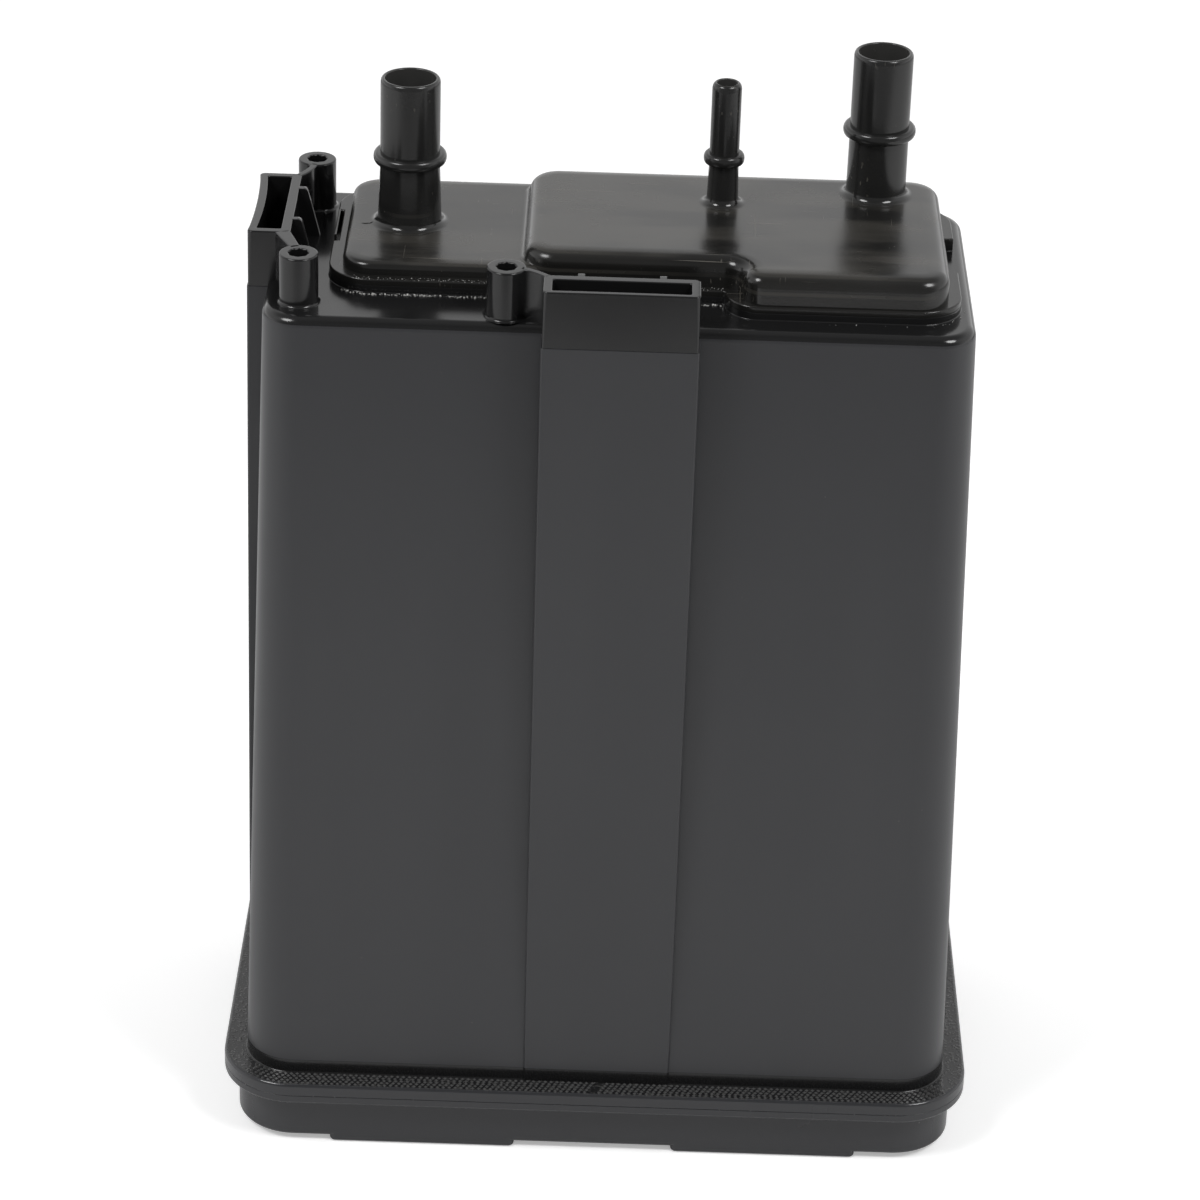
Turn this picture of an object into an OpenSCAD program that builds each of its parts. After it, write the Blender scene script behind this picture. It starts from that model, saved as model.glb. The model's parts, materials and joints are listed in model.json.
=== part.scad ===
// Charcoal canister: a moulded housing with two carbon chambers, a welded lid with three tubes
// for hoses, a welded bottom cover, and the filters, carbon, plates and springs sealed inside.
// Millimetres, +Z up, origin at the middle of the underside, front face towards -Y.

/* [Housing] */
// Width of the housing at its foot
foot_w = 196.4; // [180:0.2:210]
// Depth of the housing at its foot
foot_d = 105; // [95:0.5:130]
// Width of the housing at its deck
deck_w = 184.8; // [172:0.2:196]
// Depth of the housing at its deck
deck_d = 87; // [82:0.5:105]
// Height of the deck above the weld flange
housing_h = 226.7; // [150:0.1:300]
// Corner radius at the foot
foot_r = 14; // [8:0.5:18]
// Corner radius at the deck
deck_r = 10; // [6:0.5:14]
// Rounding of the rim of the deck
rim_r = 2.8; // [1:0.1:4]
// Wall thickness of the housing
wall = 2.5; // [1.8:0.1:3.5]
// Thickness of the deck
deck_t = 3; // [2:0.1:4]
// Thickness of the wall between the two chambers
divider_t = 2.5; // [1.8:0.1:4]
// Clear height under the divider, where vapour crosses from one chamber to the other
crossover_h = 19.4; // [12:0.1:26]

/* [Weld flange and bottom cover] */
// How far the weld flange stands out past the foot of the housing
flange_out = 6.4; // [4:0.1:10]
// Thickness of the flange on the housing
flange_t = 3.6; // [2:0.1:5]
// Thickness of the flange on the bottom cover
cover_flange_t = 2.6; // [2:0.1:5]
// Rounding of the outer flange edges
flange_edge_r = 1; // [0.4:0.1:1.3]
// How far the tub stands back from the edge of the flange
tub_inset = 4; // [2:0.1:6]
// Height of the tub below its flange
tub_h = 12.8; // [9:0.1:25]
// Wall and floor thickness of the tub
tub_wall = 2.5; // [1.8:0.1:3.5]
// Rounding of the lower edge of the tub
tub_edge_r = 2.4; // [1:0.1:4]
// Height of the two rails under the tub
rail_h = 2.1; // [1:0.1:5]
// Width of one rail
rail_w = 51.8; // [30:0.2:60]
// Distance between the middles of the rails
rail_pitch = 95.9; // [80:0.1:110]
// Corner radius of a rail
rail_r = 1.5; // [0.5:0.1:4]

/* [Bracket pockets and bosses] */
// Height of the pockets and bosses above the deck
post_h = 13.6; // [8:0.1:20]
// Length of a pocket along its wall
pocket_w = 40.7; // [30:0.1:46]
// Thickness of a pocket from its outer to its inner face
pocket_t = 11.5; // [9:0.1:14]
// Thickness of the end and inner walls of a pocket
pocket_wall = 2.6; // [1.5:0.1:3.2]
// Thickness of the outer face of a pocket
pocket_face = 1.9; // [1.4:0.1:2.6]
// Depth of the slot in a pocket, from its mouth
pocket_depth = 60; // [30:1:90]
// How far the front pocket stands out past the deck
front_proud = 9.5; // [7:0.1:10.5]
// How far the side pocket stands out past the deck
side_proud = 5.4; // [4:0.1:8]
// How far the front strip stands out at its foot
front_foot_proud = 0.3; // [0.1:0.1:2]
// How far the side strip stands out at its foot
side_foot_proud = 1; // [0.1:0.1:3]
// Sideways place of the front pocket
front_pocket_x = 0.5; // [-5:0.1:5]
// Place of the side pocket along the depth
side_pocket_y = 0.8; // [-3:0.1:3]
// Step at the parting line between a pocket and the strip below it
parting_step = 0.25; // [0.1:0.05:0.6]
// Height of the parting line below the deck
parting_drop = 2; // [1:0.1:6]
// Thickness of a gusset behind a pocket
gusset_t = 1.9; // [1.2:0.1:3]
// Distance between the two gussets of a pocket
gusset_pitch = 21; // [14:0.5:28]
// Flat top of a gusset
gusset_top = 2.2; // [1:0.1:4]
// Length of a gusset along the deck
gusset_foot = 5.6; // [3:0.1:7.5]
// Diameter of a screw boss
boss_d = 10.2; // [8:0.1:12]
// Diameter of the hole in a screw boss
boss_hole_d = 5.2; // [3:0.1:6]
// Depth of the hole in a screw boss
boss_hole_depth = 12; // [6:0.5:15]
// Distance of the two side bosses from the side of the deck
boss_side_inset = 9.3; // [8:0.1:12]
// Distance of the two side bosses from the front and back of the deck
boss_end_inset = 11.2; // [9:0.1:14]
// Distance of the third boss from the front of the deck
boss_front_inset = 6.6; // [6:0.1:9]
// Distance of the third boss from the front pocket
boss_pocket_gap = 9.5; // [7:0.1:14]
// Thickness of the webs between bosses and pockets
web_t = 1.8; // [1.2:0.1:3]

/* [Lid] */
// Distance of the lid flange from the left side of the deck
lid_left_inset = 15.9; // [15:0.1:20]
// Distance of the lid flange from the right side of the deck
lid_right_inset = 3.5; // [3:0.1:10]
// Distance of the lid flange from the back of the deck
lid_back_inset = 7; // [6:0.1:10]
// Distance of the right half of the lid flange from the front of the deck
lid_front_inset = 8.3; // [6:0.1:14]
// How far the left half of the lid stands back from the right half
lid_jog = 9.6; // [8:0.1:14]
// Where the front edge of the lid starts to step forward
lid_jog_x = 26.4; // [5:0.2:30]
// Height of the weld rim that carries the lid above the deck
weld_rim_h = 2; // [1:0.1:3]
// Thickness of the lid flange
lid_flange_t = 1.7; // [1.2:0.1:3]
// Width of the lid flange at the front and sides of the domes
lid_lip = 3.6; // [2:0.1:3.9]
// Width of the lid flange behind the domes
lid_back_lip = 0.3; // [0:0.1:2]
// Height of the vent dome above the deck
vent_dome_h = 7.3; // [7:0.1:14]
// Height of the main dome above the deck
main_dome_h = 11.9; // [11:0.1:18]
// Length of the vent dome
vent_dome_l = 47.7; // [40:0.1:56]
// Corner radius of the domes
dome_r = 8; // [6:0.1:12]
// Rounding of the upper edges of the domes
dome_edge_r = 3.4; // [1:0.1:3.6]
// Wall thickness of the lid
lid_wall = 2.2; // [1.6:0.1:3]
// Length of the locating notches in the sides of the lid flange
notch_l = 20.5; // [10:0.5:30]
// Depth of the locating notches
notch_d = 3.2; // [1.8:0.1:3.5]
// Thickness of the weld rim left outside a locating notch
notch_lip = 0.8; // [0.4:0.1:1.2]
// Distance of the locating notches behind the front edge of the vent dome
notch_front = 15.5; // [5:0.5:20]

/* [Ports] */
// Diameter of the two large tube ends
large_tube_d = 15.82; // [12:0.01:19]
// Diameter of the vent tube at its foot
vent_foot_d = 16.9; // [15.9:0.1:20]
// Diameter of the tank tube at its foot
tank_foot_d = 16; // [15.9:0.1:20]
// Diameter of the stop bead on a large tube
large_bead_d = 19.4; // [18:0.1:24]
// Bore of a large tube
large_bore_d = 13.4; // [8:0.1:14]
// Length of a large tube above its dome
large_port_h = 40.4; // [30:0.1:50]
// Distance of the bead below the end of a large tube
large_bead_drop = 22; // [15:0.1:26]
// Diameter of the small tube end
small_tube_d = 7.89; // [6:0.01:10]
// Diameter of the small tube at its foot
small_foot_d = 8.4; // [8:0.1:11]
// Diameter of the stop bead on the small tube
small_bead_d = 10.9; // [10.2:0.1:14]
// Bore of the small tube
small_bore_d = 5.4; // [3:0.1:5.6]
// Length of the small tube above its dome
small_port_h = 34; // [28:0.1:45]
// Distance of the bead below the end of the small tube
small_bead_drop = 21.2; // [15:0.1:24]
// Thickness of a stop bead
bead_t = 3.4; // [1.5:0.1:4]
// Height of the rounding at the ends of the large tubes
large_tip_h = 1.3; // [0.5:0.1:2]
// Height of the rounding at the end of the small tube
small_tip_h = 1.9; // [0.5:0.1:2.4]
// Lead-in at the mouth of the bores
mouth_lead = 0.3; // [0.2:0.1:0.8]
// Rounding at the foot of a tube
port_fillet = 2.1; // [0.8:0.1:2.5]
// Distance of the vent port from the left side of its dome
vent_port_side = 16.3; // [13:0.1:25]
// Distance of the vent port from the back of its dome
vent_port_back = 29.95; // [20:0.05:40]
// Distance of the tank port from the right side of its dome
tank_port_side = 17.4; // [13:0.1:25]
// Distance of the tank port from the back of its dome
tank_port_back = 11.7; // [11.3:0.1:25]
// Distance of the purge port from the right side of its dome
purge_port_side = 58.8; // [45:0.1:70]
// Distance of the purge port from the back of its dome
purge_port_back = 21.3; // [12:0.1:35]

/* [Sealed inside] */
// Thickness of the upper filter pads
upper_filter_t = 6; // [3:0.5:10]
// Thickness of the lower filter pads
lower_filter_t = 5; // [3:0.5:10]
// Thickness of the pressure plates
plate_t = 3; // [2:0.1:5]
// Height of the pressure plates above the lower end of the divider
plate_lift = 2; // [0.5:0.1:6]
// Clearance of pads and carbon to the chamber walls
bed_gap = 0.3; // [0.2:0.05:0.6]
// Clearance of the pressure plates to the chamber walls
plate_gap = 0.6; // [0.3:0.05:1.2]
// Diameter of the holes in the pressure plates
plate_hole_d = 5; // [3:0.1:7]
// Distance between the holes in the pressure plates
plate_hole_pitch = 10; // [8:0.1:16]
// Mean diameter of the springs
spring_d = 26; // [18:0.5:32]
// Wire diameter of the springs
wire_d = 2; // [1:0.1:3]
// Number of open turns of a spring
open_turns = 2.5; // [1.5:0.5:4]
// Clearance at the ends of the springs
spring_gap = 0.1; // [0.05:0.05:0.3]
// Height of the posts and cups that locate the springs
spring_seat_h = 3; // [2:0.1:5]
// Distance between the two springs under the main plate
main_spring_pitch = 56; // [40:1:66]
// Distance of the two springs under the vent plate from the front and back of the foot
vent_spring_inset = 28.5; // [26:0.5:31]

/* [Hidden] */
$fn = 64;
// Steps in a quarter turn of a rounded outline, and in a rounded edge
corner_steps = 8;
edge_steps = 5;
// Overlap that makes a joined shape one solid
bite = 0.5;
// Play between a cut and the face that it starts from
over = 1;

black = [0.13, 0.13, 0.135];
black_lid = [0.11, 0.11, 0.115];
carbon_grey = [0.2, 0.2, 0.2];
felt = [0.78, 0.77, 0.72];
steel = [0.7, 0.71, 0.73];

// Levels, from the underside up
tub_z = rail_h;
floor_z = tub_z + tub_wall;
cover_flange_z = tub_z + tub_h;
weld_z = cover_flange_z + cover_flange_t;
foot_z = weld_z + flange_t;
deck_z = foot_z + housing_h;
ceiling_z = deck_z - deck_t;
post_z = deck_z + post_h;
parting_z = deck_z - parting_drop;
divider_z = floor_z + crossover_h;
plate_z = divider_z + plate_lift;
lower_filter_z = plate_z + plate_t;
bed_z = lower_filter_z + lower_filter_t;
upper_filter_z = ceiling_z - upper_filter_t;

// Flange and tub, as half sizes
flange_hx = foot_w / 2 + flange_out;
flange_hy = foot_d / 2 + flange_out;
flange_r = foot_r + flange_out;

// Lid flange edges and the domes inside them
lid_x0 = -deck_w / 2 + lid_left_inset;
lid_x1 = deck_w / 2 - lid_right_inset;
lid_y0 = -deck_d / 2 + lid_front_inset;
lid_y1 = deck_d / 2 - lid_back_inset;
dome_x0 = lid_x0 + lid_lip;
dome_x1 = lid_x1 - lid_lip;
dome_y0 = lid_y0 + lid_lip;
dome_y1 = lid_y1 - lid_back_lip;
vent_dome_y0 = dome_y0 + lid_jog;
split_x = dome_x0 + vent_dome_l;
lid_z = deck_z + weld_rim_h;
notch_y = vent_dome_y0 + notch_front;
vent_dome_z = deck_z + vent_dome_h;
main_dome_z = deck_z + main_dome_h;

// Port centres
vent_port = [dome_x0 + vent_port_side, dome_y1 - vent_port_back];
tank_port = [dome_x1 - tank_port_side, dome_y1 - tank_port_back];
purge_port = [dome_x1 - purge_port_side, dome_y1 - purge_port_back];

// Pocket faces, measured outwards from the middle of the housing
front_out = deck_d / 2 + front_proud;
side_out = deck_w / 2 + side_proud;

// Boss centres
boss_x = -deck_w / 2 + boss_side_inset;
boss_y = deck_d / 2 - boss_end_inset;
front_boss = [front_pocket_x - pocket_w / 2 - boss_pocket_gap, -deck_d / 2 + boss_front_inset];
bosses = [[boss_x, -boss_y], [boss_x, boss_y], front_boss];

// Springs: chamber middles, and the height between the tub floor and the plates
main_x = (split_x + foot_w / 2) / 2;
vent_x = (split_x - foot_w / 2) / 2;
main_springs = [[main_x - main_spring_pitch / 2, 0], [main_x + main_spring_pitch / 2, 0]];
vent_spring_y = foot_d / 2 - vent_spring_inset;
vent_springs = [[vent_x, -vent_spring_y], [vent_x, vent_spring_y]];
spring_inner_d = spring_d - wire_d;
spring_outer_d = spring_d + wire_d;
spring_post_d = spring_inner_d - 1;

// Size of the tapering housing at a height
function lerp(a, b, t) = a + (b - a) * t;
function rise(z) = (z - foot_z) / housing_h;
function half_w(z) = lerp(foot_w, deck_w, rise(z)) / 2;
function half_d(z) = lerp(foot_d, deck_d, rise(z)) / 2;
function corner_r(z) = lerp(foot_r, deck_r, rise(z));

// Points of an arc, and of a rectangle with its own radius at each corner, from back right round
function arc(c, r, from, sweep) = [
    for (i = [0:corner_steps])
        c + r * [cos(from + sweep * i / corner_steps), sin(from + sweep * i / corner_steps)]
];
function rounded(x0, x1, y0, y1, r) = concat(
    arc([x1 - r[0], y1 - r[0]], r[0], 0, 90),
    arc([x0 + r[1], y1 - r[1]], r[1], 90, 90),
    arc([x0 + r[2], y0 + r[2]], r[2], 180, 90),
    arc([x1 - r[3], y0 + r[3]], r[3], 270, 90)
);
function lift(outline, z) = [for (p = outline) [p[0], p[1], z]];

// Outline of the housing wall at a height, and of the flange, each set in by an inset
function housing_ring(z, inset) =
    let (x = half_w(z) - inset, y = half_d(z) - inset, r = corner_r(z) - inset)
    lift(rounded(-x, x, -y, y, [r, r, r, r]), z);
function flange_ring(z, inset) =
    let (x = flange_hx - inset, y = flange_hy - inset, r = flange_r - inset)
    lift(rounded(-x, x, -y, y, [r, r, r, r]), z);

// Outline of one chamber at a height, with a gap to its walls
chamber_corner_r = 2;
function main_ring(z, gap) =
    let (x = half_w(z) - wall - gap, y = half_d(z) - wall - gap, r = corner_r(z) - wall - gap)
    lift(rounded(split_x + divider_t / 2 + gap, x, -y, y,
                 [r, chamber_corner_r, chamber_corner_r, r]), z);
function vent_ring(z, gap) =
    let (x = half_w(z) - wall - gap, y = half_d(z) - wall - gap, r = corner_r(z) - wall - gap)
    lift(rounded(-x, split_x - divider_t / 2 - gap, -y, y,
                 [chamber_corner_r, r, r, chamber_corner_r]), z);

// Outlines on the lid, each set in from the dome walls by an inset
function stepped(x0, inset, back_inset) =
    let (
        r = dome_r - inset,
        bend = lid_jog / 2,
        x1 = dome_x1 - inset,
        y1 = dome_y1 - back_inset,
        y0 = dome_y0 + inset
    )
    concat(
        arc([x1 - r, y1 - r], r, 0, 90),
        arc([x0 + inset + r, y1 - r], r, 90, 90),
        arc([x0 + inset + r, y0 + lid_jog + r], r, 180, 90),
        arc([lid_jog_x, vent_dome_y0 - bend], bend + inset, 90, -90),
        arc([lid_jog_x + lid_jog, vent_dome_y0 - bend], bend - inset, 180, 90),
        arc([x1 - r, y0 + r], r, 270, 90)
    );
function main_dome(inset) = stepped(split_x, inset, inset);
function lid_edge() = stepped(dome_x0, -lid_lip, -lid_back_lip);
function vent_dome(x1, inset) =
    let (r = dome_r - inset)
    rounded(dome_x0 + inset, x1 - inset, vent_dome_y0 + inset, dome_y1 - inset, [r, r, r, r]);

// Inset and drop of the points round a rounded edge, from its foot up to its flat
function edge(r) = [
    for (i = [0:edge_steps])
        let (a = 90 * i / edge_steps)
        [r * (1 - cos(a)), r * (1 - sin(a))]
];

// One closed solid through a stack of outlines that have the same number of points
module loft(rings) {
    n = len(rings[0]);
    last = len(rings) - 1;
    sides = [
        for (k = [0:last - 1], i = [0:n - 1])
            let (j = (i + 1) % n)
            each [
                [k * n + i, (k + 1) * n + i, (k + 1) * n + j],
                [k * n + i, (k + 1) * n + j, k * n + j]
            ]
    ];
    start = [[for (i = [0:n - 1]) i]];
    end = [[for (i = [n - 1:-1:0]) last * n + i]];
    polyhedron(points = [for (ring = rings) each ring], faces = concat(start, sides, end));
}

// A profile of outward distance and height, drawn along a wall
module wall_profile(points, width) {
    translate([-width / 2, 0, 0])
        rotate([90, 0, 90])
            linear_extrude(width)
                polygon(points);
}

// Local frames whose second axis points out of the front wall and out of the side wall
module on_front() {
    translate([front_pocket_x, 0, 0])
        rotate([0, 0, 180])
            children();
}
module on_side() {
    translate([0, side_pocket_y, 0])
        rotate([0, 0, 90])
            children();
}

// A strip up the wall that ends in a pocket above the deck
module pocket_strip(top_out, foot_out) {
    inner = top_out - pocket_t;
    wall_profile([
        [inner, foot_z - bite],
        [foot_out, foot_z - bite],
        [lerp(foot_out, top_out, rise(parting_z)), parting_z],
        [inner, parting_z]
    ], pocket_w);
    wall_profile([
        [inner, parting_z - bite],
        [top_out - parting_step, parting_z - bite],
        [top_out - parting_step, post_z],
        [inner, post_z]
    ], pocket_w - 2 * parting_step);
    for (side = [-1, 1])
        translate([side * gusset_pitch / 2, 0, 0])
            wall_profile([
                [inner + bite, deck_z - bite],
                [inner + bite, post_z],
                [inner - gusset_top, post_z],
                [inner - gusset_foot, deck_z],
                [inner - gusset_foot, deck_z - bite]
            ], gusset_t);
}

// The slot of a pocket: its inner face leans with the housing wall below the deck
module pocket_slot(top_out, lean) {
    mouth = top_out - pocket_face;
    inner = top_out - pocket_t + pocket_wall;
    slot_z = post_z - pocket_depth;
    wall_profile([
        [mouth, post_z + over],
        [inner, post_z + over],
        [inner, deck_z],
        [inner + lean * (deck_z - slot_z), slot_z],
        [mouth, slot_z]
    ], pocket_w - 2 * pocket_wall);
}

// The thickening inside the housing wall that closes a pocket, grown by a gap
module pocket_well(top_out, lean, gap) {
    inner = top_out - pocket_t - gap;
    well_z = post_z - pocket_depth - pocket_wall - gap;
    wall_profile([
        [top_out, deck_z],
        [inner, deck_z],
        [inner + lean * (deck_z - well_z), well_z],
        [top_out, well_z - pocket_t]
    ], pocket_w + 2 * gap);
}
front_lean = (foot_d - deck_d) / 2 / housing_h;
side_lean = (foot_w - deck_w) / 2 / housing_h;

module pocket_wells(gap) {
    on_front() pocket_well(front_out, front_lean, gap);
    on_side() pocket_well(side_out, side_lean, gap);
}

// A web from one point to another on the deck
module web(p, q) {
    span = q - p;
    translate([p[0], p[1], deck_z - bite])
        rotate([0, 0, atan2(span[1], span[0])])
            translate([0, -web_t / 2, 0])
                cube([norm(span), web_t, post_h + bite]);
}

module boss_webs() {
    side_inner = -(side_out - pocket_t) - pocket_wall / 2;
    front_inner = -(front_out - pocket_t) - pocket_wall / 2;
    reach = (pocket_w - pocket_wall) / 2;
    web(bosses[0], [side_inner, side_pocket_y - reach]);
    web(bosses[1], [side_inner, side_pocket_y + reach]);
    web(front_boss, [front_pocket_x - reach, front_inner]);
}

// Windows in the deck, under the domes
window_margin = 5;
window_rib = 5;
main_windows = 3;
module deck_windows() {
    y0 = vent_dome_y0 + lid_wall + window_margin;
    y1 = dome_y1 - lid_wall - window_margin;
    main_x0 = split_x + lid_wall + window_margin;
    main_x1 = dome_x1 - lid_wall - window_margin;
    step = (main_x1 - main_x0 + window_rib) / main_windows;
    for (i = [0:main_windows - 1])
        translate([main_x0 + i * step, y0, ceiling_z - over])
            cube([step - window_rib, y1 - y0, deck_t + 2 * over]);
    vent_x0 = dome_x0 + lid_wall + window_margin;
    vent_x1 = split_x - lid_wall - window_margin;
    translate([vent_x0, y0, ceiling_z - over])
        cube([vent_x1 - vent_x0, y1 - y0, deck_t + 2 * over]);
}

module canister_body() {
    rim_z = deck_z - rim_r;
    flange_edge_z = foot_z - flange_edge_r;
    color(black)
        difference() {
            union() {
                loft(concat(
                    [housing_ring(foot_z - bite, 0)],
                    [for (e = edge(rim_r)) lift(housing_ring(rim_z, e[0]), deck_z - e[1])]
                ));
                loft(concat(
                    [flange_ring(weld_z, 0)],
                    [for (e = edge(flange_edge_r)) lift(flange_ring(flange_edge_z, e[0]), foot_z - e[1])]
                ));
                on_front() pocket_strip(front_out, foot_d / 2 + front_foot_proud);
                on_side() pocket_strip(side_out, foot_w / 2 + side_foot_proud);
                for (b = bosses)
                    translate([b[0], b[1], deck_z - bite])
                        cylinder(d = boss_d, h = post_h + bite);
                boss_webs();
                weld_rim();
            }
            loft([housing_ring(weld_z - over, wall), housing_ring(divider_z, wall)]);
            difference() {
                union() {
                    loft([main_ring(divider_z - over, 0), main_ring(ceiling_z, 0)]);
                    loft([vent_ring(divider_z - over, 0), vent_ring(ceiling_z, 0)]);
                }
                pocket_wells(0);
            }
            on_front() pocket_slot(front_out, front_lean);
            on_side() pocket_slot(side_out, side_lean);
            for (b = bosses)
                translate([b[0], b[1], post_z - boss_hole_depth])
                    cylinder(d = boss_hole_d, h = boss_hole_depth + over);
            deck_windows();
        }
}

// Outer form of a tube: the root in its dome, stop bead and rounded tip
module tube_form(tube_d, foot_d, bead_d, height, bead_drop, tip_h) {
    bead_z = height - bead_drop;
    bead_out = (bead_d - tube_d) / 2;
    bead_arc = [
        for (i = [0:2 * edge_steps])
            let (a = -90 + 90 * i / edge_steps)
            [tube_d / 2 + bead_out * cos(a), bead_z + bead_t / 2 * sin(a)]
    ];
    tip_arc = [
        for (e = edge(tip_h))
            [tube_d / 2 - e[0] / 2, height - e[1]]
    ];
    rotate_extrude()
        polygon(concat(
            [[0, -lid_wall], [foot_d / 2, -lid_wall], [foot_d / 2, port_fillet]],
            bead_arc,
            tip_arc,
            [[0, height]]
        ));
}
module tube_bore(bore_d, height) {
    translate([0, 0, -lid_wall - over])
        cylinder(d = bore_d, h = height + lid_wall + 2 * over);
    translate([0, 0, height - mouth_lead])
        cylinder(d1 = bore_d, d2 = bore_d + 4 * mouth_lead, h = 2 * mouth_lead);
}
module at_port(p, z) {
    translate([p[0], p[1], z])
        children();
}
module large_tube(foot_d) {
    difference() {
        tube_form(large_tube_d, foot_d, large_bead_d, large_port_h, large_bead_drop, large_tip_h);
        tube_bore(large_bore_d, large_port_h);
    }
}
module vent_tube() {
    color(black_lid)
        at_port(vent_port, vent_dome_z)
            large_tube(vent_foot_d);
}
module tank_tube() {
    color(black_lid)
        at_port(tank_port, main_dome_z)
            large_tube(tank_foot_d);
}
module purge_tube() {
    color(black_lid)
        at_port(purge_port, main_dome_z)
            difference() {
                tube_form(small_tube_d, small_foot_d, small_bead_d, small_port_h, small_bead_drop, small_tip_h);
                tube_bore(small_bore_d, small_port_h);
            }
}

// Seat of a tube in its dome, and the rounded collar round it
module tube_seat(p, z, foot_d) {
    at_port(p, z - lid_wall - over)
        cylinder(d = foot_d, h = lid_wall + port_fillet + 2 * over);
}
collar_start = 20;
collar_root = 1.5;
module tube_collar(p, z, foot_d) {
    outer = foot_d / 2 + port_fillet;
    rounding = [
        for (i = [0:edge_steps])
            let (a = lerp(90, collar_start, i / edge_steps))
            [outer - port_fillet * cos(a), port_fillet * (1 - sin(a))]
    ];
    at_port(p, z)
        rotate_extrude()
            polygon(concat(
                [[0, -collar_root], [outer, -collar_root]],
                rounding,
                [[0, port_fillet * (1 - sin(collar_start))]]
            ));
}

// Space under one dome of the lid, between two heights
module main_plenum(z0, z1) {
    loft([for (z = [z0, z1]) lift(main_dome(lid_wall), z)]);
}
module vent_plenum(z0, z1) {
    loft([for (z = [z0, z1]) lift(vent_dome(split_x + lid_wall, lid_wall), z)]);
}

// Raised rim on the deck that the lid is welded to
module weld_rim() {
    difference() {
        loft([for (z = [deck_z - bite, lid_z]) lift(lid_edge(), z)]);
        main_plenum(deck_z, lid_z + over);
        vent_plenum(deck_z, lid_z + over);
        for (x = [lid_x0 + notch_lip, lid_x1 - notch_d])
            translate([x, notch_y, deck_z])
                cube([notch_d - notch_lip, notch_l, weld_rim_h + over]);
    }
}

module top_cover() {
    flange_top = lid_z + lid_flange_t;
    vent_end = split_x + 2 * dome_r;
    color(black_lid)
        difference() {
            union() {
                loft([for (z = [lid_z, flange_top]) lift(lid_edge(), z)]);
                loft(concat(
                    [lift(main_dome(0), lid_z + bite)],
                    [for (e = edge(dome_edge_r)) lift(main_dome(e[0]), main_dome_z - e[1])]
                ));
                loft(concat(
                    [lift(vent_dome(vent_end, 0), lid_z + bite)],
                    [for (e = edge(dome_edge_r)) lift(vent_dome(vent_end, e[0]), vent_dome_z - e[1])]
                ));
                tube_collar(vent_port, vent_dome_z, vent_foot_d);
                tube_collar(tank_port, main_dome_z, tank_foot_d);
                tube_collar(purge_port, main_dome_z, small_foot_d);
            }
            main_plenum(lid_z - over, main_dome_z - lid_wall);
            vent_plenum(lid_z - over, vent_dome_z - lid_wall);
            tube_seat(vent_port, vent_dome_z, vent_foot_d);
            tube_seat(tank_port, main_dome_z, tank_foot_d);
            tube_seat(purge_port, main_dome_z, small_foot_d);
            for (x = [lid_x0 - over, lid_x1 - notch_d])
                translate([x, notch_y, lid_z - over])
                    cube([notch_d + over, notch_l, lid_flange_t + 2 * over]);
        }
}

module bottom_cover() {
    low_z = tub_z + tub_edge_r;
    rail_y = flange_hy - tub_inset;
    color(black) {
        difference() {
            union() {
                loft(concat(
                    [for (i = [edge_steps:-1:0])
                        let (e = edge(tub_edge_r)[i])
                        lift(flange_ring(low_z, tub_inset + e[0]), tub_z + e[1])],
                    [flange_ring(cover_flange_z + bite, tub_inset)]
                ));
                loft(concat(
                    [for (i = [edge_steps:-1:0])
                        let (e = edge(flange_edge_r)[i])
                        lift(flange_ring(weld_z, e[0]), cover_flange_z + e[1])],
                    [flange_ring(weld_z, 0)]
                ));
                for (side = [-1, 1])
                    let (x = side * rail_pitch / 2)
                    loft([
                        for (z = [0, tub_z + tub_edge_r])
                            lift(rounded(x - rail_w / 2, x + rail_w / 2, -rail_y, rail_y,
                                         [rail_r, rail_r, rail_r, rail_r]), z)
                    ]);
            }
            loft([
                flange_ring(floor_z, tub_inset + tub_wall),
                flange_ring(weld_z + over, tub_inset + tub_wall)
            ]);
        }
        for (s = concat(main_springs, vent_springs))
            translate([s[0], s[1], floor_z - bite])
                cylinder(d = spring_post_d, h = spring_seat_h + bite);
    }
}

// A slab that fills one chamber between two heights, clear of its walls and of the pocket wells
module main_slab(z0, z1) {
    difference() {
        loft([main_ring(z0, bed_gap), main_ring(z1, bed_gap)]);
        pocket_wells(bed_gap);
    }
}
module vent_slab(z0, z1) {
    difference() {
        loft([vent_ring(z0, bed_gap), vent_ring(z1, bed_gap)]);
        pocket_wells(bed_gap);
    }
}

module main_upper_filter() {
    color(felt)
        main_slab(upper_filter_z, ceiling_z);
}
module main_carbon_bed() {
    color(carbon_grey)
        main_slab(bed_z, upper_filter_z);
}
module main_lower_filter() {
    color(felt)
        main_slab(lower_filter_z, bed_z);
}
module vent_upper_filter() {
    color(felt)
        vent_slab(upper_filter_z, ceiling_z);
}
module vent_carbon_bed() {
    color(carbon_grey)
        vent_slab(bed_z, upper_filter_z);
}
module vent_lower_filter() {
    color(felt)
        vent_slab(lower_filter_z, bed_z);
}

// Holes of a pressure plate, on a square grid about its middle
module plate_holes(c, size) {
    nx = floor((size[0] / 2 - plate_hole_pitch) / plate_hole_pitch);
    ny = floor((size[1] / 2 - plate_hole_pitch) / plate_hole_pitch);
    for (i = [-nx:nx], j = [-ny:ny])
        translate([c[0] + i * plate_hole_pitch, c[1] + j * plate_hole_pitch, plate_z - over])
            cylinder(d = plate_hole_d, h = plate_t + 2 * over, $fn = 24);
}
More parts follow.
